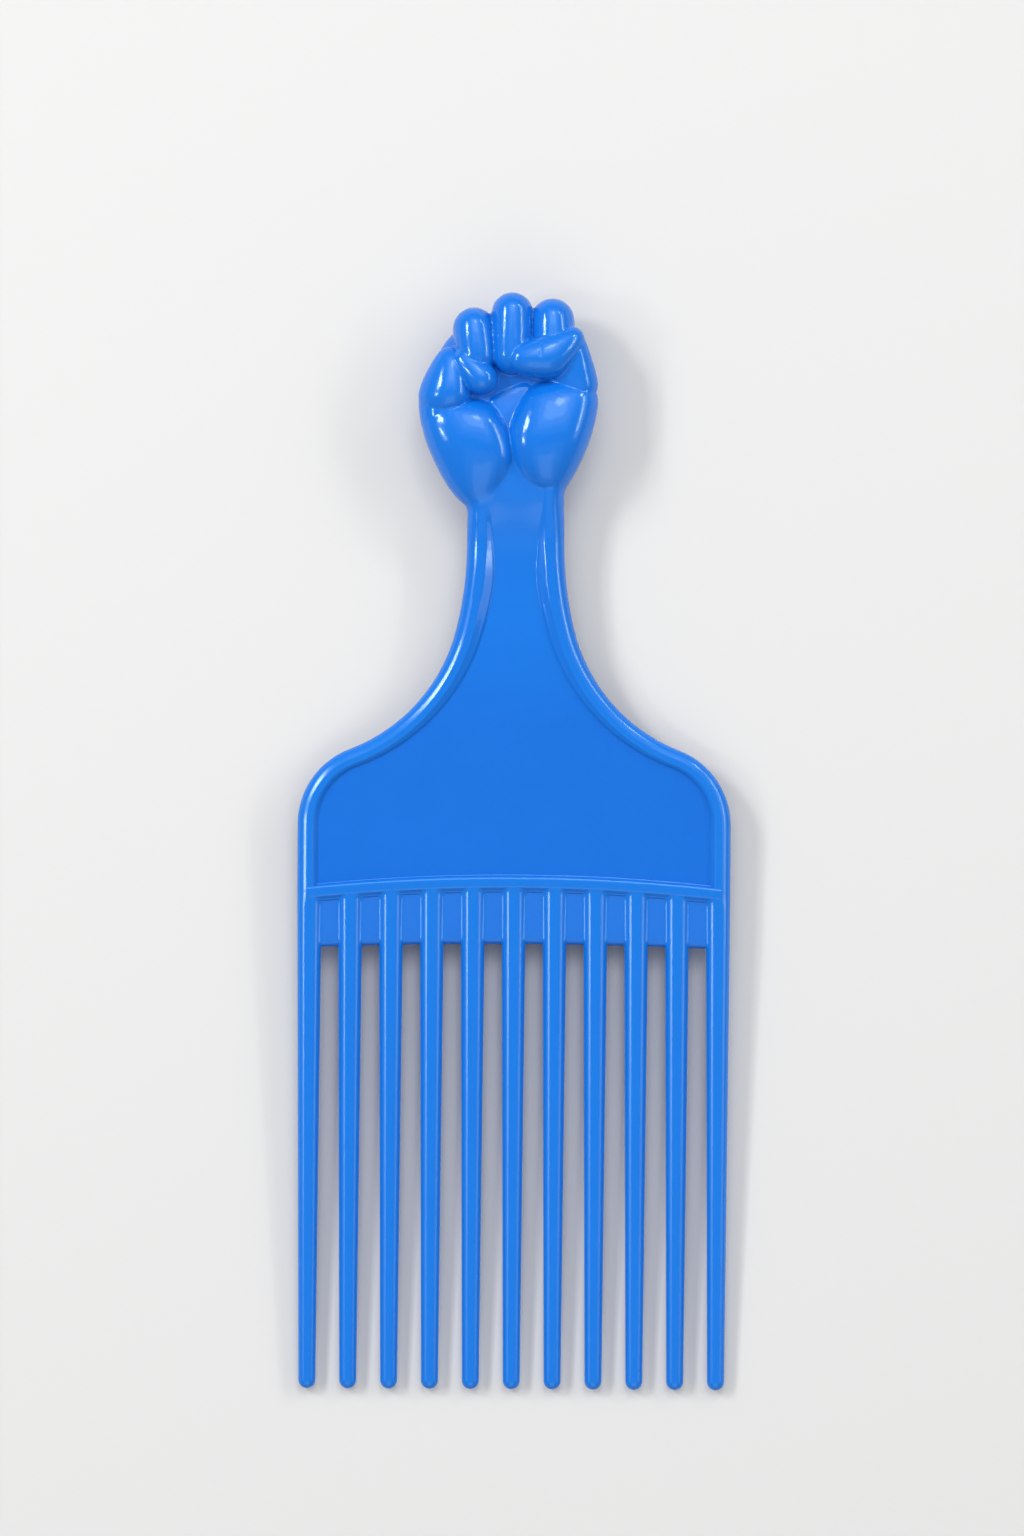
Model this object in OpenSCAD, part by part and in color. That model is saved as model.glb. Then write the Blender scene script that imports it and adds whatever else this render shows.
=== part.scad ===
// Afro pick with a raised-fist handle: one injection moulding, drawn as its moulded features.
// The pick lies on its back. X runs across the teeth, Y runs from the tooth tips to the fist
// and Z points up, out of the palm side. The origin is the centre of its footprint.

/* [Teeth] */
// Number of teeth, counting the two outer ones
tooth_count = 11; // [5:1:15]
// Distance from one tooth to the next
tooth_pitch = 8.5; // [7:0.1:12]
// Width of a tooth where it leaves the bar
tooth_w = 5.1; // [3.6:0.1:6.2]
// Thickness of a tooth where it leaves the bar
tooth_t = 4.4; // [3.2:0.1:5.4]
// Width of a tooth at its rounded tip
tip_w = 3.5; // [2.4:0.1:4.4]
// Thickness of a tooth at its rounded tip
tip_t = 3; // [2:0.1:4]
// Free length of the middle tooth below the root web
tooth_free_l = 92.6; // [60:0.5:120]

/* [Bar and webs] */
// Height of the root web between the bar and its lower edge
root_web_h = 10.8; // [6:0.2:16]
// Width of the arched bar that the teeth hang from
bar_w = 3.4; // [2.4:0.1:5]
// Thickness of the arched bar
bar_t = 4.6; // [3.6:0.1:6]
// Rise of the arched bar from its ends to its middle
bar_rise = 2.1; // [1:0.1:4]
// Thickness of the thin webs: the paddle, the neck and the root web
web_t = 2.4; // [1.6:0.1:3]

/* [Paddle] */
// Straight side of the paddle above the bar's ends
side_h = 14.4; // [8:0.2:24]
// Outer radius of the paddle's shoulder
shoulder_r = 16.7; // [10:0.1:20]
// Angle that the shoulder turns through
shoulder_turn = 69; // [62:1:72]
// Angle at which the flare into the neck eases off
flare_turn = 14; // [8:1:20]
// Upper flare radius over lower flare radius
flare_ratio = 2.05; // [1.4:0.05:3]
// Width of the raised rim
rim_w = 4.1; // [3.4:0.1:5.2]
// Thickness of the raised rim
rim_t = 4.4; // [3.8:0.1:5.6]
// Radius of the rim's rounded corners
rim_round = 1.6; // [0.8:0.1:1.7]

/* [Neck] */
// Width of the neck over both rims
neck_w = 20.3; // [16:0.1:26]
// Straight length of the neck between the flare and the fist
neck_l = 8.3; // [6:0.2:20]
// Width of the raised rim up here
neck_rim_w = 5.8; // [4.2:0.1:7]
// Thickness of the raised rim up here
neck_rim_t = 6.6; // [4.4:0.1:8]
// Length of the ramp that rises out of the neck web into the wrist
ramp_l = 7; // [4:0.5:16]
// Width of the wrist where the fist begins
wrist_w = 15; // [12:0.2:18]
// Thickness of the wrist where the fist begins
wrist_t = 9.4; // [7:0.1:12]

/* [Fist] */
// Width of the fist across its widest point
fist_w = 37.4; // [30:0.2:46]
// Length of the fist from the wrist to the top of the middle finger
fist_l = 44; // [36:0.5:54]
// Thickness of the fist from the back of the hand to the thumb
fist_t = 17.2; // [14:0.2:24]

/* [Hidden] */
$fn = 64;
// Facets of the bar's long arc, of the balls in the fist and of the tooth tips
bar_fn = 1440;
ball_fn = 26;
tip_fn = 20;
// Degrees between two stations of a rim's arcs, and between two points of its rounded corners
arc_step = 4;
corner_step = 30;
blue = [0.16, 0.48, 0.89];
light_blue = [0.22, 0.54, 0.93];

// Levels along the length, counted from the tooth tips
bar_mid_y = tooth_free_l + root_web_h + bar_w / 2;
bar_end_y = bar_mid_y - bar_rise;
shoulder_y = bar_end_y + side_h;
split_y = shoulder_y + shoulder_r * sin(shoulder_turn);

// Places across the width
head_w = tooth_pitch * (tooth_count - 1) + tooth_w;
half_w = head_w / 2;
bar_half = half_w - rim_w;
bar_r = (bar_half * bar_half + bar_rise * bar_rise) / (2 * bar_rise);

// The flare: two arcs that bring the shoulder back into line with the neck
flare_low_r = (half_w - neck_w / 2 - shoulder_r * (1 - cos(shoulder_turn)))
    / (cos(flare_turn) - cos(shoulder_turn) + flare_ratio * (1 - cos(flare_turn)));
flare_high_r = flare_low_r * flare_ratio;
shoulder_c = [half_w - shoulder_r, shoulder_y];
flare_low_c = shoulder_c + (shoulder_r + flare_low_r) * [cos(shoulder_turn), sin(shoulder_turn)];
flare_high_c = flare_low_c + (flare_high_r - flare_low_r) * [cos(flare_turn), sin(flare_turn)];
neck_low_y = flare_high_c[1];
fist_y = neck_low_y + neck_l;
ramp_y = fist_y - ramp_l;
total_l = fist_y + fist_l;

// Tooth section: how much of its width the flat land takes, and of its thickness the upright edge
land_share = 0.32;
edge_share = 0.45;
// Bar section: how much of its width its flat land takes
bar_land_share = 0.4;
// How much of the bar's arch the lower ends of the root webs follow
web_arch_share = 0.4;
// Thickness of the end slices that the tooth and the wrist are stretched between
slice_share = 0.1;
// How far the wrist reaches up between the two pads of the palm, how far it has thinned there,
// and how far the rims reach up under the pads
wrist_reach_share = 0.27;
wrist_end_share = 0.6;
rim_reach_share = 0.12;

// The fist is drawn 1 wide, and these are its drawn length and thickness
drawn_l_share = 1.178;
drawn_t_share = 0.43;
// How far the back of the hand lies behind the middle of the moulding
back_share = 0.2;
mid_z = back_share * fist_t / drawn_t_share;

// Balls of the drawn fist: X, Y, Z and radius, as shares of its width.
// Each bone of the back of the hand runs from the wrist to its knuckle
bone_shares = [
    [[0.13, 0.12, -0.01, 0.085], [0.25, 0.55, -0.06, 0.13], [0.21, 0.93, -0.07, 0.125]],
    [[0.04, 0.12, -0.01, 0.09], [0.07, 0.6, -0.07, 0.13], [-0.01, 0.96, -0.07, 0.13]],
    [[-0.05, 0.12, -0.01, 0.09], [-0.14, 0.6, -0.06, 0.13], [-0.22, 0.89, -0.06, 0.13]],
    [[-0.13, 0.12, -0.01, 0.085], [-0.405, 0.545, -0.03, 0.122], [-0.32, 0.82, -0.05, 0.1]]
];
// How much thinner the flesh is between two bones
between_share = 0.022;
thumb_pad_shares = [
    [0.35, 0.58, 0.03, 0.117], [0.17, 0.565, 0.03, 0.11], [0.125, 0.39, 0.07, 0.15],
    [0.26, 0.37, 0.05, 0.135], [0.21, 0.23, 0.02, 0.12]
];
heel_pad_shares = [
    [-0.39, 0.465, 0.02, 0.123], [-0.19, 0.445, 0.05, 0.13], [-0.15, 0.28, 0.05, 0.143],
    [-0.3, 0.31, 0.035, 0.143], [-0.19, 0.165, 0.035, 0.12], [-0.29, 0.19, 0.015, 0.11]
];
hand_edge_shares = [[-0.35, 0.79, 0.05, 0.088], [-0.41, 0.6, 0.03, 0.123], [-0.345, 0.62, 0.07, 0.11]];
palm_hollow_shares = [
    [0.075, 0.655, 0.03, 0.055], [0, 0.65, 0.03, 0.055], [-0.1, 0.57, 0.02, 0.055], [-0.02, 0.42, 0.03, 0.05]
];
index_shares = [[0.215, 1.03, -0.02, 0.11], [0.217, 1.035, 0.045, 0.111], [0.217, 0.87, 0.07, 0.108]];
middle_shares = [[-0.014, 1.06, -0.02, 0.108], [-0.014, 1.07, 0.06, 0.108], [-0.016, 0.83, 0.085, 0.105]];
ring_shares = [[-0.225, 0.97, -0.02, 0.11], [-0.228, 0.983, 0.045, 0.111], [-0.205, 0.83, 0.07, 0.104]];
little_shares = [[-0.275, 0.8, 0.09, 0.067], [-0.183, 0.694, 0.11, 0.086]];
thumb_shares = [[0.317, 0.917, 0.09, 0.072], [0.19, 0.81, 0.115, 0.115], [0.042, 0.805, 0.14, 0.083]];
thumb_root_shares = [[0.317, 0.917, 0.085, 0.07], [0.37, 0.67, 0.03, 0.1], [0.25, 0.72, 0.03, 0.09]];

function numbered(stem, i) = str(stem, "_", i < 10 ? "0" : "", i);
function tooth_x(i) = (i - (tooth_count + 1) / 2) * tooth_pitch;
function bar_y(x) = bar_mid_y - bar_r + sqrt(bar_r * bar_r - x * x);
function web_low_y(x) = tooth_free_l - (bar_mid_y - bar_y(x)) * web_arch_share;
function slimmer(balls) = [for (b = balls) b - [0, 0, 0, between_share]];
function arc(c, r, from, to, step = arc_step) = [
    for (i = [0 : ceil(abs(to - from) / step)])
        let (a = from + (to - from) * i / ceil(abs(to - from) / step))
            c + r * [cos(a), sin(a)]
];

// The right-hand side of the paddle and neck, evenly set in from the outline
function right_side(inset) = concat(
    [[half_w - inset, bar_end_y]],
    arc(shoulder_c, shoulder_r - inset, 0, shoulder_turn),
    arc(flare_low_c, flare_low_r + inset, 180 + shoulder_turn - arc_step, 180 + flare_turn),
    arc(flare_high_c, flare_high_r + inset, 180 + flare_turn - arc_step, 180),
    [[neck_w / 2 - inset, fist_y + fist_l * rim_reach_share]]
);
// The rim grows from its size on the paddle at one level to its size on the neck at another
function grown(y, low, high) =
    low + (high - low) * min(1, max(0, (y - split_y) / (neck_low_y - split_y)));
function right_inner_edge() = let (outer = right_side(0), inner = right_side(rim_w)) [
    for (i = [0 : len(outer) - 1])
        outer[i] + (inner[i] - outer[i]) * grown(outer[i][1], rim_w, neck_rim_w) / rim_w
];
function mirrored(points) = [for (i = [len(points) - 1 : -1 : 0]) [-points[i][0], points[i][1]]];

// The rim's section: across the rim from its inner to its outer edge, then up
function rim_section() = [
    for (q = [0 : 3]) let (
        x = (q == 0 || q == 3 ? 1 : -1) * (rim_w / 2 - rim_round),
        z = (q < 2 ? 1 : -1) * (rim_t / 2 - rim_round)
    ) each arc([x, z], rim_round, q * 90, q * 90 + 90, corner_step)
];

// Moves the drawing, which starts at the tooth tips and is level with the moulding's middle, to its frame
module placed(tint) {
    color(tint) translate([0, -total_l / 2, mid_z]) children();
}

// The right-hand rim, swept from the bar to the fist: side, shoulder, both arcs of the flare and the neck
module rim_form() {
    outer = right_side(0);
    inner = right_inner_edge();
    section = rim_section();
    n = len(section);
    last = len(outer) - 1;
    polyhedron(
        points = [
            for (i = [0 : last], p = section)
                let (plan = (outer[i] + inner[i]) / 2 + (outer[i] - inner[i]) * p[0] / rim_w)
                    [plan[0], plan[1], p[1] * grown(outer[i][1], rim_t, neck_rim_t) / rim_t]
        ],
        faces = concat(
            [[for (k = [0 : n - 1]) k], [for (k = [n - 1 : -1 : 0]) last * n + k]],
            [for (i = [0 : last - 1], k = [0 : n - 1])
                [i * n + k, (i + 1) * n + k, (i + 1) * n + (k + 1) % n, i * n + (k + 1) % n]]
        ));
}

// The arched bar, before its ends are cut
module bar_form() {
    reach = asin(bar_half / bar_r);
    land = bar_w * bar_land_share / 2;
    translate([0, bar_mid_y - bar_r, 0]) rotate([0, 0, 90 - reach])
        rotate_extrude(angle = 2 * reach, $fn = bar_fn) translate([bar_r, 0])
            polygon([
                [-bar_w / 2, -web_t / 2], [-land, -bar_t / 2], [land, -bar_t / 2], [bar_w / 2, -web_t / 2],
                [bar_w / 2, web_t / 2], [land, bar_t / 2], [-land, bar_t / 2], [-bar_w / 2, web_t / 2]
            ]);
}

// One tooth from the middle of the bar to its rounded tip: flat lands front and back, sloping flanks
module tooth_form(x) {
    land = tooth_w * land_share / 2;
    edge = tooth_t * edge_share / 2;
    hull() {
        translate([x, bar_y(min(abs(x), bar_half)), 0])
            rotate([90, 0, 0]) linear_extrude(tip_t * slice_share)
                polygon([
                    [-tooth_w / 2, -edge], [-land, -tooth_t / 2], [land, -tooth_t / 2], [tooth_w / 2, -edge],
                    [tooth_w / 2, edge], [land, tooth_t / 2], [-land, tooth_t / 2], [-tooth_w / 2, edge]
                ]);
        translate([x, tip_w / 2, 0])
            scale([tip_w / 2, tip_w / 2, tip_t / 2]) sphere(1, $fn = tip_fn);
    }
}

// The thin web inside the rims, between two levels and clear of the bar
module web_between(low_y, high_y) {
    translate([0, 0, -web_t / 2]) linear_extrude(web_t) difference() {
        intersection() {
            polygon(concat(right_inner_edge(), mirrored(right_inner_edge())));
            translate([-half_w, low_y]) square([head_w, high_y - low_y]);
        }
        translate([0, bar_mid_y - bar_r]) circle(bar_r + bar_w / 2, $fn = bar_fn);
    }
}

// A rounded mass that wraps all its balls
module mass(balls) {
    hull() for (b = balls)
        translate([b[0], b[1], b[2]]) sphere(b[3], $fn = ball_fn);
}

// A jointed form: each ball is joined to the next
module limb(balls) {
    for (i = [0 : len(balls) - 2]) mass([balls[i], balls[i + 1]]);
}

module palm_form() {
    for (bone = bone_shares) limb(bone);
    for (i = [0 : len(bone_shares) - 2])
        mass(slimmer(concat(bone_shares[i], bone_shares[i + 1])));
}

// The forms of the fist in the order in which they overlie: each gives way to those before it
module fist_form(i) {
    if (i == 0) palm_form();
    if (i == 1) mass(thumb_pad_shares);
    if (i == 2) mass(heel_pad_shares);
    if (i == 3) mass(hand_edge_shares);
    if (i == 4) mass(thumb_root_shares);
    if (i == 5) limb(thumb_shares);
    if (i == 6) limb(little_shares);
    if (i == 7) mass(middle_shares);
    if (i == 8) mass(index_shares);
    if (i == 9) mass(ring_shares);
    if (i == 10) mass(palm_hollow_shares);
}
last_form = 10;

// Scales the drawn fist to its real size and sets it on the neck
module fist_space() {
    translate([0, fist_y, 0])
        scale([fist_w, fist_l / drawn_l_share, fist_t / drawn_t_share]) children();
}

module whole_fist() {
    fist_space() for (i = [0 : last_form]) fist_form(i);
}

// The wrist: a ramp that rises out of the neck web, rounds out and thins again between the pads
module wrist_form() {
    slice = web_t * slice_share;
    hull() {
        translate([-wrist_w / 2, ramp_y, -web_t / 2]) cube([wrist_w, slice, web_t]);
        for (end = [[0, 1], [wrist_reach_share, wrist_end_share]])
            translate([0, fist_y + fist_l * end[0], 0]) rotate([-90, 0, 0])
                scale([wrist_w * end[1] / 2, wrist_t * end[1] / 2, 1]) cylinder(r = 1, h = slice);
    }
}

module fist_part(i) {
    placed(blue) difference() {
        fist_space() fist_form(i);
        wrist_form();
        if (i > 0) fist_space() for (k = [0 : i - 1]) fist_form(k);
    }
}

module paddle_web() {
    placed(light_blue) web_between(bar_end_y, split_y);
}

module neck_web() {
    placed(light_blue) web_between(split_y, ramp_y);
}

module right_rim() {
    placed(blue) difference() {
        rim_form();
        wrist_form();
        whole_fist();
    }
}

module left_rim() {
    placed(blue) difference() {
        mirror([1, 0, 0]) rim_form();
        wrist_form();
        whole_fist();
    }
}

// The bar ends at the inner faces of the rims and of the outer teeth
module root_bar() {
    placed(blue) difference() {
        bar_form();
        tooth_form(tooth_x(1));
        tooth_form(tooth_x(tooth_count));
        for (side = [-1, 1])
            translate([side * half_w - rim_w, bar_end_y, -bar_t]) cube([2 * rim_w, bar_w, 2 * bar_t]);
    }
}

// The thin web that ties two teeth together under the bar
module root_web(i) {
    x0 = tooth_x(i);
    x1 = tooth_x(i + 1);
    placed(light_blue) difference() {
        translate([0, 0, -web_t / 2]) linear_extrude(web_t) polygon([
            [x0, web_low_y(x0)], [x1, web_low_y(x1)], [x1, bar_y(x1)], [x0, bar_y(x0)]
        ]);
        tooth_form(x0);
        tooth_form(x1);
        bar_form();
    }
}

module tooth(i) {
    placed(blue) difference() {
        tooth_form(tooth_x(i));
        if (i > 1 && i < tooth_count) bar_form();
    }
}

module wrist() {
    placed(blue) wrist_form();
}

paddle_web();
neck_web();
left_rim();
right_rim();
root_bar();
for (i = [1 : tooth_count - 1])
    root_web(i);
for (i = [1 : tooth_count])
    tooth(i);
wrist();
fist_part(0);  // palm
fist_part(1);  // thumb_pad
fist_part(2);  // heel_pad
fist_part(3);  // hand_edge
fist_part(4);  // thumb_root
fist_part(5);  // thumb
fist_part(6);  // little_finger
fist_part(7);  // middle_finger
fist_part(8);  // index_finger
fist_part(9);  // ring_finger
fist_part(10);  // palm_hollow
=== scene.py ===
import math

import bmesh
import bpy
import numpy as np
from mathutils import Matrix, Vector


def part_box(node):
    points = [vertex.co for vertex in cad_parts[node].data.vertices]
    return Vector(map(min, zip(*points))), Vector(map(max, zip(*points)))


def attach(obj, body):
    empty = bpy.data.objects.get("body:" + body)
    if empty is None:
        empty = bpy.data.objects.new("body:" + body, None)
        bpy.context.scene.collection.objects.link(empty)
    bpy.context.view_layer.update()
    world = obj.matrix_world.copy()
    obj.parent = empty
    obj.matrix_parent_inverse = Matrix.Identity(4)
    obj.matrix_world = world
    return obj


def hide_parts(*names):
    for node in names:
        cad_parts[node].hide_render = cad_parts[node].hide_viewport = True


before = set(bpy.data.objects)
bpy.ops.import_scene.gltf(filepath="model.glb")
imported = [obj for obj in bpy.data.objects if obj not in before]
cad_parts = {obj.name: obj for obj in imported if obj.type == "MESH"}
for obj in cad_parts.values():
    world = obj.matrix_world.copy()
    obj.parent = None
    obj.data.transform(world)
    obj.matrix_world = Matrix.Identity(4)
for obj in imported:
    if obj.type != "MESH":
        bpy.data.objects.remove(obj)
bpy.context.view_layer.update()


# The teeth: eleven long tapers of injection-moulded plastic, front and back alike, in one with the
# bar. Each has a flat land down its middle, rounded shoulders and a rounded tip, and it grows out
# of the bar and of the web between the roots with a small fillet, as the mould was cut.
mm = 0.001
half_turn = math.pi
quarter = math.pi / 2
mid_z = sum(corner.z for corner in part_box("paddle_web")) / 2
tip_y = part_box("tooth_06")[0].y

tooth_count = 11
middle_tooth = (tooth_count + 1) / 2
tooth_pitch = 8.5 * mm
tooth_root_half_w, tooth_tip_half_w = 2.55 * mm, 1.75 * mm
tooth_root_half_t, tooth_tip_half_t = 2.2 * mm, 1.5 * mm
tooth_root_land, tooth_tip_land = 0.78 * mm, 0.42 * mm
tooth_side_share, tooth_bend_share, tooth_slope_share = 0.14, 0.4, 0.13
land_lean = 25
taper_start, taper_steps = 15 * mm, 12
tip_steps, tip_crown, tip_cap_share = 9, 0.75, 0.45

# What a tooth starts from: the bar, the webs beside it and, at the ends of the row, a rim
bar_middle_y = tip_y + 105.1 * mm
bar_end_y = tip_y + 103 * mm
bar_half_l, bar_half_w, bar_half_t = 40.95 * mm, 1.7 * mm, 2.3 * mm
bar_upper_land, bar_lower_land = 0.9 * mm, 0.3 * mm
bar_rise = bar_middle_y - bar_end_y
bar_r = (bar_half_l ** 2 + bar_rise ** 2) / (2 * bar_rise)
web_middle_low_y = tip_y + 92.6 * mm
web_half_t = 1.2 * mm
web_arch_share = 0.4
rim_land_start, rim_side_h = 2.05 * mm, 0.25 * mm
rim_bend, rim_slope = 0.5 * mm, 0.03 * mm

# The fillet under the bar, the cove along a web, and where the rings that carry them lie
fillet_r, cove_r = 0.95 * mm, 1.1 * mm
fillet_top, fillet_foot = bar_lower_land + 0.1 * mm, bar_half_w + 0.05 * mm
cove_points, cove_steep = 5, math.radians(48)
cove_top_z = web_half_t + cove_r * (1 - math.cos(cove_steep)) - 0.01 * mm
cove_fade_start, cove_fade_l = 1.2 * mm, 1.6 * mm
rings_up_rim = (-1.5, -0.6)
rings_under_bar = (0, 0.3, 0.6, 0.8, 1, 1.2, 1.4, 1.6, 1.8, 2, 2.2, 2.4, 2.6, 2.9, 3.3, 4, 6, 8)
rings_at_web_edge = (-2, -1.6, -1.2, -0.8, -0.4, 0, 0.4, 0.8, 1.4)
rim_fade_l, rim_tuck = 3 * mm, 0.03 * mm


def lerp(a, b, share):
    return a + (b - a) * share


def held(share):
    return min(1, max(0, share))


def ease(share):
    share = held(share)
    return share * share * (3 - 2 * share)


def bar_y(x):
    """The middle of the arched bar."""
    return bar_middle_y - bar_r + math.sqrt(bar_r ** 2 - x ** 2)


def web_low_y(x):
    """The lower edge of the root webs, which is arched less than the bar."""
    return web_middle_low_y - (bar_middle_y - bar_y(x)) * web_arch_share


def both_faces(front):
    """A section from its front half: the back mirrors it."""
    return front + [(across, -z) for across, z in reversed(front)]


def all_round(right, left=None):
    """A section from its upper right quarter, and from the upper left one if that differs, which
    is drawn to the right too."""
    return both_faces([(-x, z) for x, z in reversed(left or right)] + right)


def sweep(bm, rings):
    """Draws the first ring as a face and pulls it through the other rings."""
    verts = [bm.verts.new(point) for point in rings[0]]
    face = bm.faces.new(verts)
    for ring in rings[1:]:
        order = {vert.co.to_tuple(): k for k, vert in enumerate(verts)}
        pulled = bmesh.ops.extrude_face_region(bm, geom=[face])["geom"]
        face = next(g for g in pulled if isinstance(g, bmesh.types.BMFace))
        verts = sorted(face.verts, key=lambda vert: order[vert.co.to_tuple()])
        for vert, point in zip(verts, ring):
            vert.co = point


def added(name, data):
    """A new object in the scene."""
    thing = bpy.data.objects.new(name, data)
    bpy.context.scene.collection.objects.link(thing)
    return thing


def finished(bm, name, material, slot, *nodes):
    """Closes a piece: normals out, smooth, its material, and the CAD nodes that it stands for."""
    weld, sharp = 0.001 * mm, math.radians(40)
    bmesh.ops.remove_doubles(bm, verts=bm.verts, dist=weld)
    bmesh.ops.recalc_face_normals(bm, faces=bm.faces)
    mesh = bpy.data.meshes.new(name)
    bm.to_mesh(mesh)
    bm.free()
    mesh.polygons.foreach_set("use_smooth", [True] * len(mesh.polygons))
    mesh.set_sharp_from_angle(angle=sharp)
    mesh.materials.append(material)
    piece = added(name, mesh)
    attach(piece, "root")
    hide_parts(*nodes)
    return piece


def swept_piece(rings, name, material, slot, *nodes):
    bm = bmesh.new()
    sweep(bm, rings)
    finished(bm, name, material, slot, *nodes)


def moulded_plastic(name, colour, deep, gloss, ripple, grain, speckle=0.2):
    """Opaque blue plastic: its colour drifts a little where the melt flowed, and its skin has a
    faint ripple and a fine grain, both given as heights. Its patterns, each with a scale and a
    detail, are turned off the axes, so that none lines up with the flat faces."""
    flow, speck, sheen, wave, pore = (70, 3), (1400, 2), (220, 4), (150, 2), (1600, 2)
    off_axis = (0.6, 0.4, 0.5)
    material = bpy.data.materials.new(name)
    material.use_nodes = True
    tree = material.node_tree
    shader = tree.nodes["Principled BSDF"]

    def node(kind, **settings):
        made = tree.nodes.new(kind)
        for key, value in settings.items():
            setattr(made, key, value)
        return made

    def noise(scale, detail):
        made = node("ShaderNodeTexNoise")
        made.inputs["Scale"].default_value = scale
        made.inputs["Detail"].default_value = detail
        tree.links.new(turned.outputs["Vector"], made.inputs["Vector"])
        return made.outputs["Fac"]

    place = node("ShaderNodeTexCoord")
    turned = node("ShaderNodeMapping")
    turned.inputs["Rotation"].default_value = off_axis
    tree.links.new(place.outputs["Object"], turned.inputs["Vector"])
    drift = node("ShaderNodeMix", data_type="RGBA")
    drift.inputs["A"].default_value = (*colour, 1)
    drift.inputs["B"].default_value = (*deep, 1)
    mottle = node("ShaderNodeMath", operation="MULTIPLY_ADD")
    tree.links.new(noise(*speck), mottle.inputs[0])
    mottle.inputs[1].default_value = speckle
    tree.links.new(noise(*flow), mottle.inputs[2])
    tree.links.new(mottle.outputs["Value"], drift.inputs["Factor"])
    tree.links.new(drift.outputs["Result"], shader.inputs["Base Color"])

    rough = node("ShaderNodeMapRange")
    rough.inputs["To Min"].default_value = gloss[0]
    rough.inputs["To Max"].default_value = gloss[1]
    tree.links.new(noise(*sheen), rough.inputs["Value"])
    tree.links.new(rough.outputs["Result"], shader.inputs["Roughness"])

    last = None
    for pattern, height in ((wave, ripple), (pore, grain)):
        bump = node("ShaderNodeBump")
        bump.inputs["Strength"].default_value = 1
        bump.inputs["Distance"].default_value = height
        tree.links.new(noise(*pattern), bump.inputs["Height"])
        if last:
            tree.links.new(last.outputs["Normal"], bump.inputs["Normal"])
        last = bump
    tree.links.new(last.outputs["Normal"], shader.inputs["Normal"])
    shader.inputs["IOR"].default_value = 1.5
    shader.inputs["Specular Tint"].default_value = (0.75, 0.95, 1, 1)
    shader.inputs["Subsurface Weight"].default_value = 0.05
    shader.inputs["Subsurface Radius"].default_value = (0.3 * mm, 0.5 * mm, 1.0 * mm)
    shader.inputs["Subsurface Scale"].default_value = 1
    return material


glossy_blue = moulded_plastic(
    "glossy_blue_plastic", colour=(0.004, 0.166, 0.66), deep=(0.003, 0.156, 0.63),
    gloss=(0.17, 0.22), ripple=0.015 * mm, grain=0.0006 * mm)


def shoulder(run, drop, bend, slope, lean, upright=86):
    """Out and down from the edge of a flat land, as (run, drop): a small bend of radius bend, a
    slope that leans by so many degrees, and a round side that ends upright."""
    bend_steps, slope_shares, side_steps = 4, (0.15, 0.85), 8
    lean, upright = math.radians(lean), math.radians(upright)
    turns = [lean * k / bend_steps for k in range(bend_steps + 1)]
    line = [(bend * math.sin(turn), bend * (1 - math.cos(turn))) for turn in turns]
    out, down = line[-1]
    line += [(out + slope * share * math.cos(lean), down + slope * share * math.sin(lean))
             for share in slope_shares]
    out, down = out + slope * math.cos(lean), down + slope * math.sin(lean)
    wide = (run - out) / (math.sin(upright) - math.sin(lean))
    high = (drop - down) / (math.cos(lean) - math.cos(upright))
    turns = [lerp(lean, upright, k / side_steps) for k in range(side_steps + 1)]
    return line + [(out + wide * (math.sin(turn) - math.sin(lean)),
                    down + high * (math.cos(lean) - math.cos(turn))) for turn in turns]


def tooth_section(share, over_web, rimward=0):
    """Upper right quarter of a tooth: its land and shoulder, which over a web ends in a cove. The
    outer side of an outer tooth starts with the section of the rim that it goes on from."""
    half_w = lerp(tooth_root_half_w, tooth_tip_half_w, share)
    half_t = lerp(tooth_root_half_t, tooth_tip_half_t, share)
    land = lerp(tooth_root_land, tooth_tip_land, share)
    land = lerp(land, half_w - rim_land_start, rimward)
    side = lerp(half_t * tooth_side_share, rim_side_h, rimward)
    run = half_w - land
    bend = lerp(tooth_bend_share * run, rim_bend, rimward)
    slope = lerp(tooth_slope_share * run, rim_slope, rimward)
    line = shoulder(run, half_t - side, bend, slope, land_lean)
    corner = [(land + out, half_t - down) for out, down in line]
    foot = corner[-cove_points - 1][0]
    for k, (out, up) in enumerate(corner[-cove_points:], 1):
        turn = cove_steep * (1 - k / cove_points)
        cove_out = foot + cove_r * (math.sin(cove_steep) - math.sin(turn))
        cove_up = cove_top_z - cove_r * (math.cos(turn) - math.cos(cove_steep))
        corner[k - cove_points - 1] = lerp(out, cove_out, over_web), lerp(up, cove_up, over_web)
    return corner


def root_fillet(z, below):
    """How far a tooth widens just under the bar, whose lower slope stands further out the lower
    it gets."""
    fall = held((bar_half_t - abs(z)) / (bar_half_t - web_half_t))
    gap = min(fillet_r, max(0, fillet_r - (below - lerp(fillet_top, fillet_foot, fall))))
    return fillet_r - math.sqrt(fillet_r ** 2 - gap ** 2)


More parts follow.
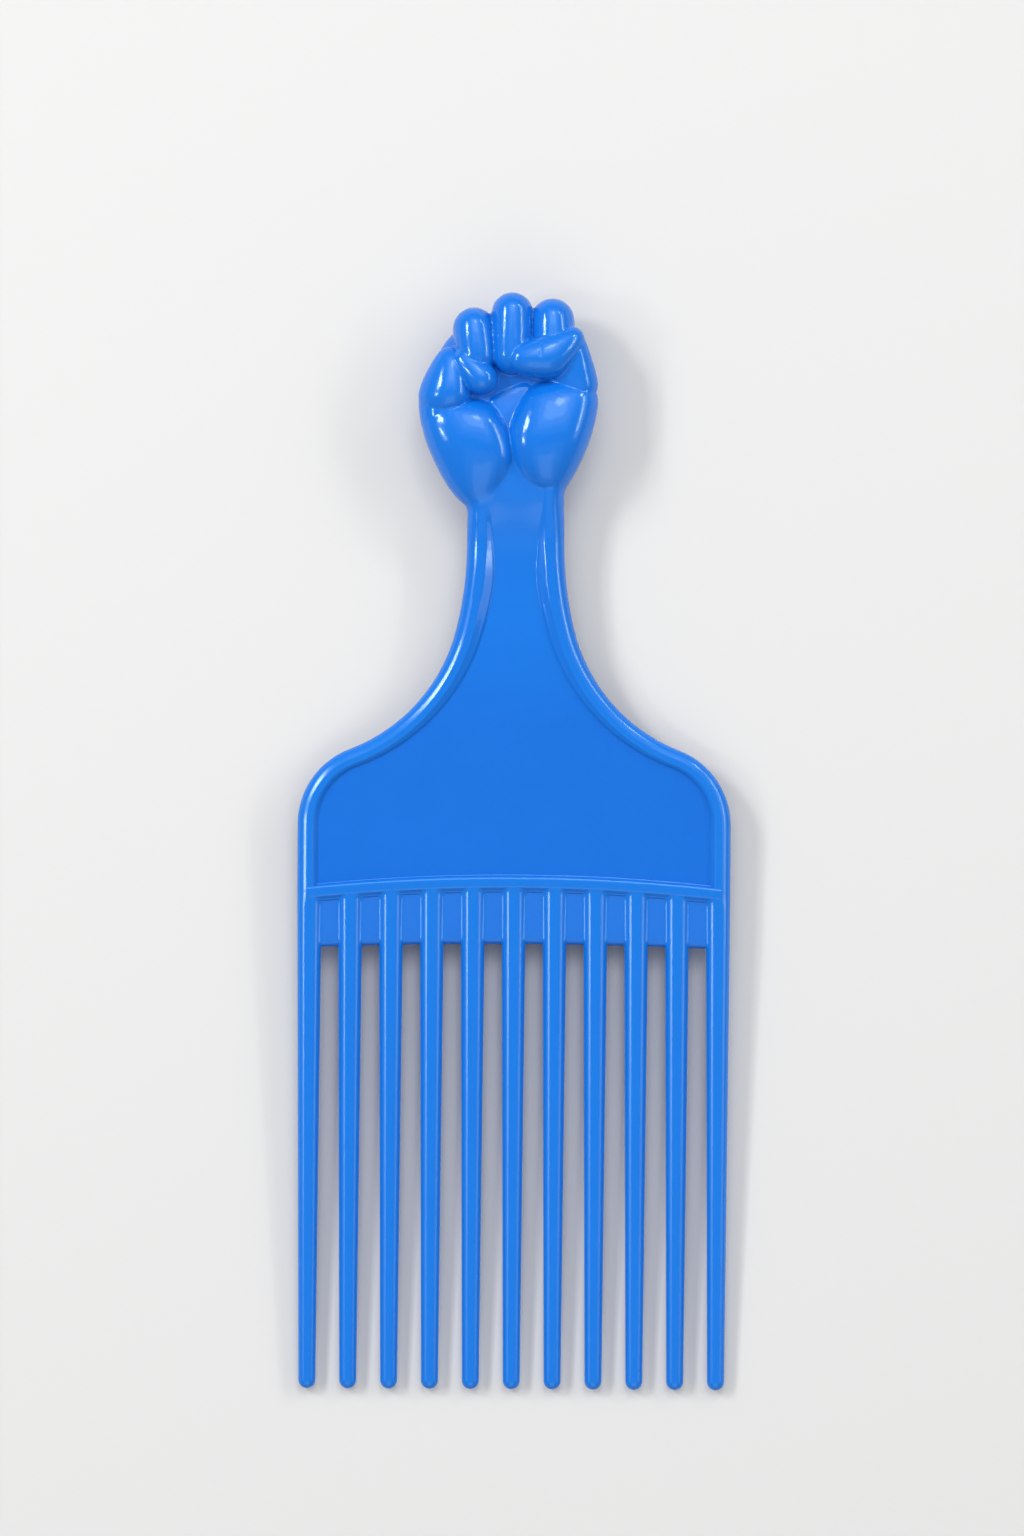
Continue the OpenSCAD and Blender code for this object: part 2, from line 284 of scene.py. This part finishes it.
def make_tooth(number):
    x = (number - middle_tooth) * tooth_pitch
    top_y = bar_y(min(abs(x), bar_half_l))
    free_l = top_y - tip_y
    web_low = top_y - web_low_y(x)
    outer = number in (1, tooth_count)
    places = [step * mm for step in rings_under_bar]
    places += [web_low + step * mm for step in rings_at_web_edge]
    places += [lerp(taper_start, free_l - tooth_tip_half_w, k / taper_steps)
               for k in range(taper_steps + 1)]
    if outer:
        places = [step * mm for step in rings_up_rim] + places
    rings = []
    for below in places:
        over_web = 1 - ease((below - web_low + cove_fade_start) / cove_fade_l)
        share = max(0, below / free_l)
        plain = tooth_section(share, over_web)
        rimmed = tooth_section(share, 0, 1 - ease(below / rim_fade_l)) if outer else plain
        section = all_round(plain, rimmed) if x < 0 else all_round(rimmed, plain)
        y = top_y - below
        tuck = rim_tuck if below < 0 else 0
        ring = []
        for px, pz in section:
            if not (outer and px * x > 0):
                bar_low_y = bar_y(min(bar_half_l, abs(x + px)))
                px += math.copysign(root_fillet(pz, bar_low_y - y), px)
            ring.append(Vector((x + px, y, mid_z + pz - tuck)))
        rings.append(ring)
    tip_ring = all_round(tooth_section(1 - tooth_tip_half_w / free_l, 0))
    for k in range(1, tip_steps):
        turn = quarter * k / tip_steps
        y = tip_y + tooth_tip_half_w * (1 - math.sin(turn))
        rings.append([Vector((x + px * math.cos(turn), y, mid_z + pz * math.cos(turn) ** tip_crown))
                      for px, pz in tip_ring])
    middle = Vector((x, tip_y, mid_z))
    last = [Vector((point.x, tip_y, point.z)) for point in rings[-1]]
    rings.append([middle + (point - middle) * tip_cap_share for point in last])
    name = "tooth_%02d" % number
    swept_piece(rings, name + "_moulded", glossy_blue, "glossy_blue", name)


for number in range(1, tooth_count + 1):
    make_tooth(number)


# The root webs: the thin plate between two teeth under the bar, left in so that the teeth don't
# spread. Its lower edge is fully rounded and runs into the teeth on both sides with a small fillet.
web_reach = tooth_pitch / 2 - 1.6 * mm
web_corner_share, web_corner_drop = 0.3, 0.9 * mm
web_edge_steps, web_edge_l = 6, 4 * mm
web_columns = (-1, -0.97, -0.93, -0.88, -0.82, -0.74, -0.5, 0,
               0.5, 0.74, 0.82, 0.88, 0.93, 0.97, 1)
# The webs' colour is a little lighter than the plate's: painted light, which makes up for the shade
# that the teeth around them cast.
satin_web_blue_painted_light = moulded_plastic(
    "satin_web_blue_plastic", colour=(0.006, 0.15, 0.63), deep=(0.004, 0.138, 0.59),
    gloss=(0.34, 0.42), ripple=0.004 * mm, grain=0.004 * mm, speckle=0.8)


def make_root_web(number):
    middle_x = (number - middle_tooth + 0.5) * tooth_pitch
    turns = [quarter * k / web_edge_steps for k in range(web_edge_steps + 1)]
    rings = []
    for share in web_columns:
        x = middle_x + web_reach * share
        side = held((abs(share) - (1 - web_corner_share)) / web_corner_share)
        low = web_low_y(x) - web_corner_drop * (1 - math.sqrt(1 - side ** 2))
        half = [(low + web_half_t * (1 - math.cos(turn)), web_half_t * math.sin(turn))
                for turn in turns]
        half += [(low + web_edge_l, web_half_t), (bar_y(x), web_half_t)]
        rings.append([Vector((x, y, mid_z + z)) for y, z in both_faces(half)[:-1]])
    name = "root_web_%02d" % number
    swept_piece(rings, name + "_moulded", satin_web_blue_painted_light, "satin_web", name)


for number in range(1, tooth_count):
    make_root_web(number)


# The bar: the arched rib that all the teeth hang from, moulded front and back with a flat land and
# rounded shoulders. Its slope is long towards the teeth and tight towards the paddle, which it runs
# into with a cove, and its ends lie across the rims.
bar_over_rim = 2.1 * mm
bar_steps = 60
bar_foot_z = web_half_t + 0.15 * mm
bar_bend = 0.9 * mm
bar_lower_slope, bar_upper_slope = 0.6 * mm, 0.05 * mm
bar_lower_lean, bar_upper_lean = 42, 25
bar_toe = [(0.1 * mm, 0.05 * mm), (0.28 * mm, -0.01 * mm)]


def bar_side(land, slope, lean):
    line = shoulder(bar_half_w - land, bar_half_t - bar_foot_z, bar_bend, slope, lean)
    return ([(land + out, bar_half_t - down) for out, down in line]
            + [(bar_half_w + out, web_half_t + up) for out, up in bar_toe])


def make_bar():
    section = all_round(bar_side(bar_upper_land, bar_upper_slope, bar_upper_lean),
                        bar_side(bar_lower_land, bar_lower_slope, bar_lower_lean))
    rings = []
    for k in range(-bar_steps, bar_steps + 1):
        x = (bar_half_l + bar_over_rim) * k / bar_steps
        lean = math.asin(x / bar_r)
        middle = Vector((x, bar_y(x), mid_z))
        across = Vector((math.sin(lean), math.cos(lean), 0))
        rings.append([middle + across * a + Vector((0, 0, z)) for a, z in section])
    swept_piece(rings, "root_bar_moulded", glossy_blue, "glossy_blue", "root_bar")


make_bar()


# The rims: the raised edges that run from the outer teeth round the shoulders and up the neck to
# the fist. They are moulded round outside, flat on top and sloped inside, and they grow wider and
# thicker up the neck.
paddle_half_w = 45.05 * mm
shoulder_y = bar_end_y + 14.4 * mm
shoulder_r, shoulder_turn = 16.7 * mm, math.radians(69)
flare_turn, flare_ratio = math.radians(14), 2.05
neck_half_w, neck_l = 10.15 * mm, 8.3 * mm
side_rows, arc_rows, high_arc_rows, neck_rows = 16, 36, 12, 20
inwards = Vector((-1, 0))

rim_w, neck_rim_w = 4.1 * mm, 6.6 * mm
rim_half_t, neck_rim_half_t = 2.2 * mm, 2.9 * mm
rim_land_end, neck_land_start, neck_land_end = 3.1 * mm, 2.5 * mm, 3.9 * mm
neck_bend, neck_slope = 0.6 * mm, 0.12 * mm
rim_fall, neck_fall = 38, 29
rim_inner_bend, neck_inner_bend_share = 0.12 * mm, 0.06
rim_inner_slope, neck_inner_slope_share = 0.42 * mm, 0.86
rim_inner_upright, neck_inner_upright = 66, 86
rim_foot_gap, rim_foot_z = 0.1 * mm, web_half_t + 0.02 * mm
rim_toe = [(0.06 * mm, -0.01 * mm), (0.25 * mm, -0.03 * mm)]
rim_under, rim_under_skin_l = 0.15 * mm, 4 * mm
rim_under_tooth_y, rim_under_tooth_l = bar_end_y + 0.3 * mm, 3 * mm


def heading(turn):
    return Vector((math.cos(turn), math.sin(turn)))


split_y = shoulder_y + shoulder_r * math.sin(shoulder_turn)
flare_run = paddle_half_w - neck_half_w - shoulder_r * (1 - math.cos(shoulder_turn))
flare_low_r = flare_run / (math.cos(flare_turn) - math.cos(shoulder_turn)
                           + flare_ratio * (1 - math.cos(flare_turn)))
flare_high_r = flare_low_r * flare_ratio
shoulder_c = Vector((paddle_half_w - shoulder_r, shoulder_y))
flare_low_c = shoulder_c + (shoulder_r + flare_low_r) * heading(shoulder_turn)
flare_high_c = flare_low_c + (flare_high_r - flare_low_r) * heading(flare_turn)
neck_low_y = flare_high_c.y
fist_y = neck_low_y + neck_l
seam_y = fist_y - 24 * mm
rim_start_y, rim_end_y = bar_end_y - 5.6 * mm, fist_y + 5.3 * mm


def arc_places(centre, radius, start, end, outward, steps):
    """Points along an arc of the outline, each with the way that leads inwards from it."""
    places = []
    for k in range(steps + 1):
        way = heading(lerp(start, end, k / steps))
        places.append((centre + radius * way, way if outward else -way))
    return places


def outline():
    """The right edge of the pick from the outer tooth up to the fist."""
    places = [(Vector((paddle_half_w, lerp(rim_start_y, shoulder_y, k / side_rows))), inwards)
              for k in range(side_rows)]
    places += arc_places(shoulder_c, shoulder_r, 0, shoulder_turn, False, arc_rows)
    places += arc_places(flare_low_c, flare_low_r,
                         half_turn + shoulder_turn, half_turn + flare_turn, True, arc_rows)[1:]
    places += arc_places(flare_high_c, flare_high_r,
                         half_turn + flare_turn, half_turn, True, high_arc_rows)[1:]
    places += [(Vector((neck_half_w, lerp(neck_low_y, rim_end_y, k / neck_rows))), inwards)
               for k in range(1, neck_rows + 1)]
    return places


def neckward(y):
    return held((y - split_y) / (neck_low_y - split_y))


def rim_wide(y):
    return lerp(rim_w, neck_rim_w, neckward(y))


def rim_high(y):
    return lerp(rim_half_t, neck_rim_half_t, neckward(y))


def rim_top(y, high, foot):
    """The upper side of a rim as inward distance from the outline and height, from the parting
    line to its foot."""
    up_neck = neckward(y)
    land_start = lerp(rim_land_start, neck_land_start, up_neck)
    land_end = lerp(rim_land_end, neck_land_end, up_neck)
    outer = shoulder(land_start, high - rim_side_h, lerp(rim_bend, neck_bend, up_neck),
                     lerp(rim_slope, neck_slope, up_neck), land_lean)
    drop = high - foot
    run = (rim_wide(y) - land_end - rim_foot_gap) * drop / (rim_high(y) - rim_foot_z)
    fall = lerp(rim_fall, neck_fall, up_neck)
    neck_inner_slope = neck_inner_slope_share * run / math.cos(math.radians(fall))
    inner = shoulder(run, drop, lerp(rim_inner_bend, neck_inner_bend_share * run, up_neck),
                     lerp(rim_inner_slope, neck_inner_slope, up_neck), fall,
                     lerp(rim_inner_upright, neck_inner_upright, up_neck))
    return ([(land_start - out, high - down) for out, down in reversed(outer)]
            + [(land_end + out, high - down) for out, down in inner])


def rim_section(y):
    """Round a whole rim. It runs out under the outer tooth, and under the fist's skin where the
    neck thickens."""
    under = rim_under * (ease((y - seam_y - rim_under_skin_l) / rim_under_skin_l)
                         + ease((rim_under_tooth_y - y) / rim_under_tooth_l))
    top = [(max(u, under), z - under) for u, z in rim_top(y, rim_high(y), rim_foot_z)]
    foot = top[-1][0]
    top += [(foot + out, web_half_t + up - under) for out, up in rim_toe]
    return both_faces(top)


def make_rim(side, name):
    rings = [[Vector((side * (spot.x + inward.x * u), spot.y + inward.y * u, mid_z + z))
              for u, z in rim_section(spot.y)] for spot, inward in outline()]
    swept_piece(rings, name + "_moulded", glossy_blue, "glossy_blue", name)


make_rim(-1, "left_rim")
make_rim(1, "right_rim")


# The paddle and neck plate: the thin recessed plate inside the rims, a little duller than the rims,
# because the mould's large flats were left satin. It is one plate from the bar up to the wrist.
plate_under_rim, plate_arch_l, plate_columns = 0.7 * mm, 12 * mm, 8
satin_blue = moulded_plastic(
    "satin_blue_plastic", colour=(0.0015, 0.141, 0.625), deep=(0.001, 0.129, 0.585),
    gloss=(0.22, 0.265), ripple=0.006 * mm, grain=0.003 * mm, speckle=0.6)
fist_colour, fist_finish = (0.004, 0.155, 0.635), 0.12
polish_low_y, polish_high_y = seam_y - 22 * mm, seam_y - 2 * mm


def polish_neck(material):
    """The mould's polish comes up between two levels of the neck, where plate and rims get the
    fist's finish."""
    tree = material.node_tree
    shader = tree.nodes["Principled BSDF"]
    rough = shader.inputs["Roughness"].links[0].from_socket
    split = tree.nodes.new("ShaderNodeSeparateXYZ")
    place = tree.nodes["Texture Coordinate"]
    tree.links.new(place.outputs["Object"], split.inputs["Vector"])
    rise = tree.nodes.new("ShaderNodeMapRange")
    rise.inputs["From Min"].default_value = polish_low_y
    rise.inputs["From Max"].default_value = polish_high_y
    tree.links.new(split.outputs["Y"], rise.inputs["Value"])
    blend = tree.nodes.new("ShaderNodeMix")
    tree.links.new(rise.outputs["Result"], blend.inputs["Factor"])
    tree.links.new(rough, blend.inputs["A"])
    blend.inputs["B"].default_value = fist_finish
    tree.links.new(blend.outputs["Result"], shader.inputs["Roughness"])
    tint = tree.nodes.new("ShaderNodeMix")
    tint.data_type = "RGBA"
    tree.links.new(rise.outputs["Result"], tint.inputs["Factor"])
    tree.links.new(shader.inputs["Base Color"].links[0].from_socket, tint.inputs["A"])
    tint.inputs["B"].default_value = (*fist_colour, 1)
    tree.links.new(tint.outputs["Result"], shader.inputs["Base Color"])


for plastic in (glossy_blue, satin_blue):
    polish_neck(plastic)


def make_plate():
    """Rows across the plate, arched along the bar at first. The sides lie hidden in the rims."""
    edge = [spot + inward * (rim_wide(spot.y) - plate_under_rim) for spot, inward in outline()]
    ends = [Vector((bar_half_l, bar_end_y))]
    ends += [end for end in edge if bar_end_y + bar_half_w < end.y <= fist_y]
    rings = []
    for end in ends:
        arch = 1 - ease((end.y - bar_end_y) / plate_arch_l)
        columns = [end.x * k / plate_columns for k in range(-plate_columns, plate_columns + 1)]
        row = [(x, end.y + arch * (bar_y(x) - bar_end_y)) for x in columns]
        rings.append([Vector((x, y, mid_z + web_half_t)) for x, y in row]
                     + [Vector((x, y, mid_z - web_half_t)) for x, y in reversed(row)])
    swept_piece(rings, "plate_moulded", satin_blue, "satin_web", "paddle_web", "neck_web")


make_plate()


# The fist: a closed right hand seen from its palm, moulded solid with the neck. Its forms are the
# real hand's pads, finger ends, bent thumb and back, each a soft mass drawn tight over round cores,
# and all of them run together with the small creases that the mould's cutter left.
hand_x = -0.5 * mm
hand_size = Vector((37.4 * mm, 37.35 * mm, 40 * mm))

# Each core is its place across, up and forwards, and its radius, in shares of the hand's size
bones = [
    [(0.13, 0.12, -0.01, 0.085), (0.25, 0.55, -0.06, 0.13), (0.21, 0.93, -0.062, 0.125)],
    [(0.04, 0.12, -0.01, 0.09), (0.07, 0.6, -0.062, 0.13), (-0.01, 0.96, -0.062, 0.13)],
    [(-0.05, 0.12, -0.01, 0.09), (-0.14, 0.6, -0.06, 0.13), (-0.22, 0.89, -0.06, 0.13)],
    [(-0.13, 0.12, -0.01, 0.085), (-0.405, 0.545, -0.03, 0.122), (-0.32, 0.82, -0.05, 0.1)]]
thumb_pad = [
    (0.35, 0.58, 0.03, 0.117), (0.16, 0.56, 0.035, 0.12), (0.108, 0.385, 0.043, 0.15),
    (0.27, 0.38, 0.058, 0.138), (0.12, 0.27, 0.03, 0.14), (0.21, 0.23, 0.03, 0.12),
    (0.195, 0.14, 0.02, 0.1)]
heel_pad = [
    (-0.39, 0.465, 0.02, 0.123), (-0.19, 0.445, 0.045, 0.13), (-0.128, 0.28, 0.033, 0.15),
    (-0.3, 0.31, 0.018, 0.143), (-0.262, 0.13, 0.01, 0.098), (-0.19, 0.06, 0.012, 0.092)]
hand_edge = [(-0.35, 0.79, 0.05, 0.088), (-0.41, 0.6, 0.03, 0.123), (-0.345, 0.62, 0.07, 0.11)]
hand_side = [(-0.41, 0.6, 0.01, 0.12), (-0.392, 0.45, 0.015, 0.121)]
palm_hollow = [
    (0.07, 0.64, 0.03, 0.055), (0.0, 0.62, 0.03, 0.055), (-0.1, 0.56, 0.03, 0.06),
    (-0.02, 0.4, 0.05, 0.06)]
index_finger = [
    (0.211, 1.02, -0.02, 0.116), (0.211, 1.027, 0.045, 0.119), (0.213, 0.87, 0.07, 0.114)]
middle_finger = [
    (-0.012, 1.06, -0.02, 0.111), (-0.012, 1.066, 0.06, 0.112), (-0.014, 0.83, 0.085, 0.108)]
ring_finger = [
    (-0.223, 0.97, -0.02, 0.114), (-0.224, 0.979, 0.045, 0.115), (-0.203, 0.83, 0.07, 0.108)]
little_finger = [(-0.275, 0.79, 0.09, 0.076), (-0.181, 0.696, 0.11, 0.09)]
thumb = [(0.317, 0.917, 0.105, 0.072), (0.19, 0.81, 0.111, 0.115), (0.042, 0.805, 0.136, 0.083)]
thumb_root = [(0.317, 0.917, 0.085, 0.07), (0.362, 0.67, 0.035, 0.105), (0.25, 0.72, 0.03, 0.09)]
wrist = [
    (-0.12, 0.2, 0.0, 0.105), (0.12, 0.2, 0.0, 0.105), (-0.13, 0.08, 0.0, 0.09),
    (0.13, 0.08, 0.0, 0.09)]

# The neck's upper end: how much each thing changes, from how far above the fist's lower end, and
# over what length
skin_under, skin_under_l = 0.06 * mm, 6 * mm
neck_swell, swell_start, swell_l = 2.5 * mm, -10 * mm, 20 * mm
neck_sink, sink_start, sink_l = 0.4, 10 * mm, 4 * mm
ramp_below_rim, ramp_start, ramp_l, ramp_softness = 0.2 * mm, -17 * mm, 18 * mm, 0.7
floor_hollow, hollow_start, hollow_l = 0.3 * mm, -8 * mm, 13 * mm
rows_in_fist, floor_columns = (6.5, 8, 9.5, 11, 12, 13), 6

# The pads' lower ends, where the skin is smoothed into a fillet, and over what length it fades
thumb_pad_x, thumb_fade_l = 7 * mm, 2 * mm
heel_pad_x, heel_fade_l = 3 * mm, 3 * mm
pad_end_low, low_fade_l = -4 * mm, 4 * mm
pad_end_high, high_fade_l = 13 * mm, 5 * mm

# How softly each form runs from core to core
back_softness, bone_softness = 0.008, 0.0055
palm_forms = (
    (thumb_pad, 0.02), (heel_pad, 0.02), (hand_edge, 0.014), (hand_side, 0.011),
    (thumb_root, 0.01), (middle_finger, 0.008), (index_finger, 0.008), (ring_finger, 0.008),
    (thumb, 0.012), (little_finger, 0.006), (palm_hollow, 0.0055), (wrist, 0.008))

# The skin: how fine it is, how often it is smoothed, and the mark pressed in at the thumb's nail
core_detail, skin_voxel = ((5, 0.27 * mm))
relax_rounds, fillet_rounds = 4, 150
nail_x, nail_low_y, nail_high_y = 5 * mm, fist_y + 30.7 * mm, fist_y + 32.9 * mm
nail_press, nail_line_w, nail_reach = 0.15 * mm, 0.3 * mm, 1 * mm


def flesh(bm, cores, softness):
    """A skin drawn tight over round cores and eased where it leaves one core for the next."""
    made = bmesh.ops.create_icosphere(bm, subdivisions=core_detail, radius=1)["verts"]
    ways = np.array([vert.co[:] for vert in made])
    ways /= np.linalg.norm(ways, axis=1)[:, None]
    centres = np.array([core[:3] for core in cores])
    along = ways @ centres.T
    reach = along + np.array([core[3] for core in cores])
    top = reach.max(1, keepdims=True)
    pull = np.exp((reach - top) / softness)
    total = pull.sum(1, keepdims=True)
    skin = top[:, 0] + softness * np.log(total[:, 0])
    pull /= total
    points = pull @ centres + (skin - (along * pull).sum(1))[:, None] * ways
    for vert, (x, y, z) in zip(made, points):
        vert.co = (hand_x + x * hand_size.x, fist_y + y * hand_size.y, mid_z + z * hand_size.z)


def make_neck(bm):
    """The neck's upper end: the rims thicken, and the recess between them runs out in a long ramp
    up to the wrist, which goes on between the two pads of the palm and dies away under them."""
    places = [(spot, inward) for spot, inward in outline() if spot.y >= seam_y]
    places += [(Vector((neck_half_w, fist_y + rise * mm)), inwards) for rise in rows_in_fist]
    rings = []
    for spot, inward in places:
        y, rise = spot.y, spot.y - fist_y
        under = skin_under * (1 - ease((y - seam_y) / skin_under_l))
        high = rim_high(y) + neck_swell * ease((rise - swell_start) / swell_l) - under
        high *= 1 - neck_sink * ease((rise - sink_start) / sink_l)
        ramp = held((rise - ramp_start) / ramp_l)
        ramp = lerp(ramp, ease(ramp), ramp_softness)
        foot = lerp(rim_foot_z, high - ramp_below_rim, ramp) - under
        corner = [(*(spot + inward * max(u, under)), z)
                  for u, z in reversed(rim_top(y, high, foot))]
        inner_x, inner_y = corner[0][:2]
        hollow = floor_hollow * ease((rise - hollow_start) / hollow_l)
        floor = [(inner_x * (k + 0.5) / floor_columns, inner_y,
                  foot - hollow * (1 - (k / (floor_columns - 1)) ** 2) ** 2)
                 for k in range(floor_columns)]
        right = floor + corner
        top = [(-x, y, z) for x, y, z in reversed(right)] + right
        rings.append([Vector((x, y, mid_z + z)) for x, y, z in top]
                     + [Vector((x, y, mid_z - z)) for x, y, z in reversed(top)])
    sweep(bm, rings)


def pad_end(x, rise):
    """How much of a place on the skin lies where a pad of the palm runs down into the wrist."""
    on_thumb_pad = ease((x - thumb_pad_x) / thumb_fade_l)
    on_heel_pad = ease((-x - heel_pad_x) / heel_fade_l)
    above_low = ease((rise - pad_end_low) / low_fade_l)
    below_high = ease((pad_end_high - rise) / high_fade_l)
    return (on_thumb_pad + on_heel_pad) * above_low * below_high


def smoothed(piece, name, rounds):
    smooth = piece.modifiers.new(name, "SMOOTH")
    smooth.factor = 0.5
    smooth.iterations = rounds
    return smooth


def mesh_as_seen(piece):
    """A piece's mesh with its modifiers worked in."""
    depsgraph = bpy.context.evaluated_depsgraph_get()
    return bpy.data.meshes.new_from_object(piece.evaluated_get(depsgraph))


def make_fist():
    bm = bmesh.new()
    make_neck(bm)
    for a, b in zip(bones, bones[1:]):
        flesh(bm, a[:2] + b[:2], back_softness)
        flesh(bm, a[1:] + b[1:], back_softness)
    for bone in bones:
        flesh(bm, bone[1:], bone_softness)
    for cores, softness in palm_forms:
        flesh(bm, cores, softness)
    forms = added("fist_forms", bpy.data.meshes.new("fist_forms"))
    bm.to_mesh(forms.data)
    bm.free()

    remesh = forms.modifiers.new("skin", "REMESH")
    remesh.mode = "VOXEL"
    remesh.voxel_size = skin_voxel
    skin = mesh_as_seen(forms)
    forms.modifiers.clear()
    draft = added("fist_draft", skin)
    wrap = draft.modifiers.new("wrap", "SHRINKWRAP")
    wrap.target = forms
    wrap.wrap_method = "NEAREST_SURFACEPOINT"
    smoothed(draft, "relax", relax_rounds)
    ends = draft.vertex_groups.new(name="pad_ends")
    for vert in skin.vertices:
        ends.add([vert.index], pad_end(vert.co.x, vert.co.y - fist_y), "REPLACE")
    smoothed(draft, "fillet", fillet_rounds).vertex_group = "pad_ends"
    mesh = mesh_as_seen(draft)
    for scratch in (forms, draft):
        bpy.data.objects.remove(scratch)

    bm = bmesh.new()
    bm.from_mesh(mesh)
    for vert in bm.verts:
        x, y, z = vert.co
        off = math.hypot(x - nail_x, y - min(nail_high_y, max(nail_low_y, y)))
        if off < nail_reach and z > mid_z:
            vert.co.z -= nail_press * math.exp(-(off / nail_line_w) ** 2)
    return finished(bm, "fist_moulded", glossy_blue, "glossy_blue", "wrist", "palm", "thumb_pad",
                    "heel_pad", "hand_edge", "thumb_root", "thumb", "little_finger",
                    "middle_finger", "index_finger", "ring_finger", "palm_hollow")


fist = make_fist()


# The floor: a plain pale table top. The pick lies on the backs of its knuckles and on its tooth
# tips, so seen along its own plane the table leans by the small angle between the two.
table_half_w, table_clear = 1.6, 0.05 * mm
table_colour = (0.635, 0.635, 0.63)


def make_floor():
    corners = np.array([vert.co[:] for vert in fist.data.vertices])
    rest_y = tip_y + tooth_tip_half_w
    rest_z = mid_z - tooth_tip_half_t
    slope = ((corners[:, 2] - rest_z) / (corners[:, 1] - rest_y)).min()
    lean = Matrix.Rotation(math.atan(slope), 3, "X")
    bm = bmesh.new()
    bmesh.ops.create_grid(bm, x_segments=1, y_segments=1, size=table_half_w)
    bmesh.ops.rotate(bm, verts=bm.verts, cent=(0, 0, 0), matrix=lean)
    bmesh.ops.translate(bm, verts=bm.verts, vec=(0, 0, rest_z - slope * rest_y - table_clear))
    mesh = bpy.data.meshes.new("table_top")
    bm.to_mesh(mesh)
    bm.free()
    paint = bpy.data.materials.new("pale_table_paint")
    paint.use_nodes = True
    shader = paint.node_tree.nodes["Principled BSDF"]
    shader.inputs["Base Color"].default_value = (*table_colour, 1)
    shader.inputs["Roughness"].default_value = 0.85
    shader.inputs["Specular IOR Level"].default_value = 0.2
    mesh.materials.append(paint)
    floor = added("table_top", mesh)


make_floor()


# The light: long soft boxes on both sides of the pick, with brighter cores and small spots, and
# wide ones beyond the fist and beyond the tips that grow brighter to their middles, in an evenly
# lit white room. Each has its place, its width and length in metres, and its power in watts.
def soft_box(name, place, wide, long, power, aim=(0, 0.01, 0)):
    light = bpy.data.lights.new(name, "AREA")
    light.shape = "RECTANGLE"
    light.size, light.size_y, light.energy = wide, long, power
    back = (Vector(place) - Vector(aim)).normalized()
    along = Vector((0, 1, 0)) if abs(back.y) < abs(back.x) else Vector((1, 0, 0))
    along = (along - along.dot(back) * back).normalized()
    turned = Matrix((along.cross(back), along, back)).transposed().to_4x4()
    added(name, light).matrix_world = Matrix.Translation(place) @ turned


soft_box("left_box", (-1.07, 0.4, 0.9), 0.36, 1.3, 2.2)
soft_box("left_core", (-1.05, 0.02, 0.88), 0.14, 0.18, 2.1)
soft_box("left_far_core", (-1.05, 0.65, 0.88), 0.1, 0.56, 4.8)
soft_box("left_spot", (-0.95, 0.62, 0.98), 0.12, 0.3, 4)
soft_box("right_box", (1.2, 0.35, 0.68), 0.5, 1.3, 3.0)
soft_box("right_core", (1.12, 0.43, 0.7), 0.1, 1.0, 3.2)
soft_box("right_spot", (0.9, 1.1, 0.75), 0.15, 0.15, 1.8)
soft_box("far_box", (0.1, 1.25, 1.65), 2.4, 2.4, 7)
soft_box("far_box_middle", (0.1, 1.22, 1.6), 1.5, 1.6, 5.5)
soft_box("far_box_heart", (0.1, 1.19, 1.56), 0.8, 0.9, 4)
soft_box("far_core", (0.12, 0.98, 0.95), 0.24, 0.2, 0.8)
soft_box("near_box", (0.1, -1.3, 1.5), 2.4, 2.2, 4.5)
soft_box("near_box_middle", (0.1, -1.28, 1.48), 1.2, 1.2, 3.5)

world = bpy.data.worlds.new("white_room")
bpy.context.scene.world = world
world.use_nodes = True
room = world.node_tree.nodes["Background"]
room.inputs["Color"].default_value = (1, 1, 1, 1)
room.inputs["Strength"].default_value = 0.37


# The camera: straight above the pick, far enough off that the fist doesn't lean, and framed as the
# photograph is: a little above the middle of the pick, which lies a third of a degree askew.
frame_l = 319.5 * mm
frame_x, frame_y = -0.52 * mm, 15.24 * mm
askew = math.radians(0.31)
lens, sensor = 200, 36
camera = bpy.data.cameras.new("camera")
camera.lens = lens
camera.sensor_width = sensor
camera.sensor_fit = "AUTO"
eye = added("camera", camera)
eye.location = (frame_x, frame_y, mid_z + frame_l * lens / sensor)
eye.rotation_euler = (0, 0, askew)
bpy.context.scene.camera = eye
bpy.context.scene.view_settings.view_transform = "Standard"
